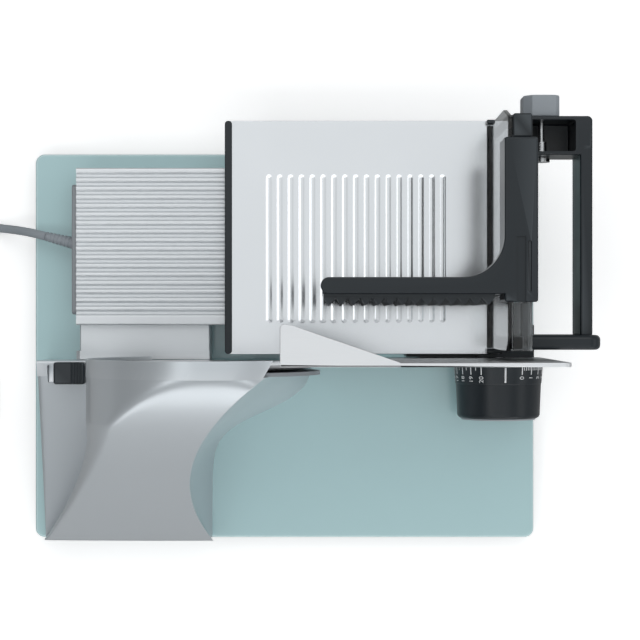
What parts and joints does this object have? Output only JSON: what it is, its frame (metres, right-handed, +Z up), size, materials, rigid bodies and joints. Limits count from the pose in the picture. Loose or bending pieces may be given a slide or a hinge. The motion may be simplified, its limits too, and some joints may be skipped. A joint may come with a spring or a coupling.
{
  "type": "deli meat slicer",
  "caption": "Electric food slicer: round blade in a sail-shaped cast housing, sliding food carriage with pusher and guard, stop plate set by a scaled knob, glass base.",
  "frame": {"origin": "middle of the footprint of the machine without its cord, on the table", "axes": "+X to the operator's side along the carriage's travel, +Y to the food side along the blade axis, +Z up"},
  "size_m": [0.5457, 0.3274, 0.2265],
  "materials": {
    "glass": "tempered, tinted underside",
    "rubber": "matte",
    "bed_casting": "satin lacquer",
    "housing_casting": "silver paint, satin",
    "steel": "machined",
    "blade_steel": "turned, ground edge",
    "plate_steel": "fine brushed",
    "stop_aluminium": "anodised satin",
    "black_plastic": "fine texture",
    "grey_plastic": "satin",
    "cover_plastic": "satin",
    "clear_plastic": "clear, polished",
    "bronze": "sintered",
    "gear_plastic": "natural nylon",
    "stator_iron": "laminated",
    "cord_sheath": "matte"
  },
  "bodies": {
    "base": {"glass_plate": "glass", "rubber_feet": "rubber", "slide_bed": "bed_casting", "bed_end_cover": "bed_casting", "guide_rods": "steel", "blade_bridge": "bed_casting", "motor_housing": "housing_casting", "housing_floor_plate": "steel", "blade_backing_plate": "cover_plastic", "backing_screws": "steel", "gear_chassis": "steel", "shaft_bushes": "bronze", "motor_stator": "stator_iron", "motor_end_plates": "steel", "motor_cradle": "steel", "switch_body": "black_plastic", "terminal_block": "cover_plastic", "stop_carrier": "black_plastic", "carrier_bushes": "bronze", "thickness_spindle": "steel", "base_screws": "steel", "cord_strain_relief": "cord_sheath", "power_cord": "cord_sheath", "cord_coil": "cord_sheath", "cord_tail": "cord_sheath", "mains_plug": "cord_sheath"},
    "blade": {"blade": "blade_steel", "blade_hub": "cover_plastic", "blade_screws": "steel", "main_gear": "gear_plastic"},
    "countershaft": {"counter_shaft": "steel", "counter_gear": "gear_plastic", "counter_pinion": "steel"},
    "rotor": {"motor_rotor": "stator_iron", "motor_pinion": "steel", "cooling_fan": "black_plastic"},
    "stop": {"stop_plate": "stop_aluminium", "stop_guide_pins": "steel", "knob_bearing_hub": "cover_plastic"},
    "thickness_dial": {"thickness_knob": "black_plastic", "knob_cap": "grey_plastic", "knob_nut": "bronze"},
    "carriage": {"carriage_plate": "plate_steel", "plate_edge_strip": "black_plastic", "carriage_arm": "steel", "slide_block": "black_plastic", "glide_pads": "black_plastic", "thumb_guard": "clear_plastic", "guard_clips": "black_plastic", "pusher_rail": "clear_plastic", "rail_end_cap": "black_plastic", "carriage_handle": "black_plastic", "handle_screws": "steel"},
    "carriage_lock": {"lock_knob": "grey_plastic", "lock_shaft": "steel"},
    "food_pusher": {"pusher_body": "black_plastic", "pusher_spikes": "black_plastic"},
    "power_switch": {"power_switch_slider": "black_plastic"}
  },
  "joints": [
    {"name": "carriage_slide", "type": "slide", "parent": "base", "child": "carriage", "axis": [-1, 0, 0], "range_m": [0, 0.235]},
    {"name": "pusher_slide", "type": "slide", "parent": "carriage", "child": "food_pusher", "axis": [0, -1, 0], "range_m": [-0.016, 0.036]},
    {"name": "lock_knob_turn", "type": "hinge", "parent": "carriage", "child": "carriage_lock", "pos_m": [0.1709, 0.15425, 0.117], "axis": [0, -1, 0], "range_deg": [0, 90]},
    {"name": "knob_turn", "type": "hinge", "parent": "stop", "child": "thickness_dial", "pos_m": [0.1466, -0.04575, 0.056], "axis": [0, -1, 0], "range_deg": [0, 332.5]},
    {"name": "stop_slide", "type": "slide", "parent": "base", "child": "stop", "axis": [0, -1, 0], "range_m": [0, 0.022]},
    {"name": "blade_spin", "type": "hinge", "parent": "base", "child": "blade", "pos_m": [-0.0633, -0.02575, 0.138], "axis": [0, -1, 0], "continuous": true},
    {"name": "countershaft_spin", "type": "hinge", "parent": "base", "child": "countershaft", "pos_m": [-0.09266, -0.04575, 0.12431], "axis": [0, -1, 0], "continuous": true},
    {"name": "rotor_spin", "type": "hinge", "parent": "base", "child": "rotor", "pos_m": [-0.11048, -0.07575, 0.10649], "axis": [0, -1, 0], "continuous": true},
    {"name": "switch_slide", "type": "slide", "parent": "base", "child": "power_switch", "axis": [-1, 0, 0], "range_m": [0, 0.0055]}
  ],
  "couplings": [
    {"joint": "stop_slide", "follows": "knob_turn", "m_per_rad": 0.0037561},
    {"joint": "countershaft_spin", "follows": "blade_spin", "ratio": -5},
    {"joint": "rotor_spin", "follows": "blade_spin", "ratio": 25}
  ]
}
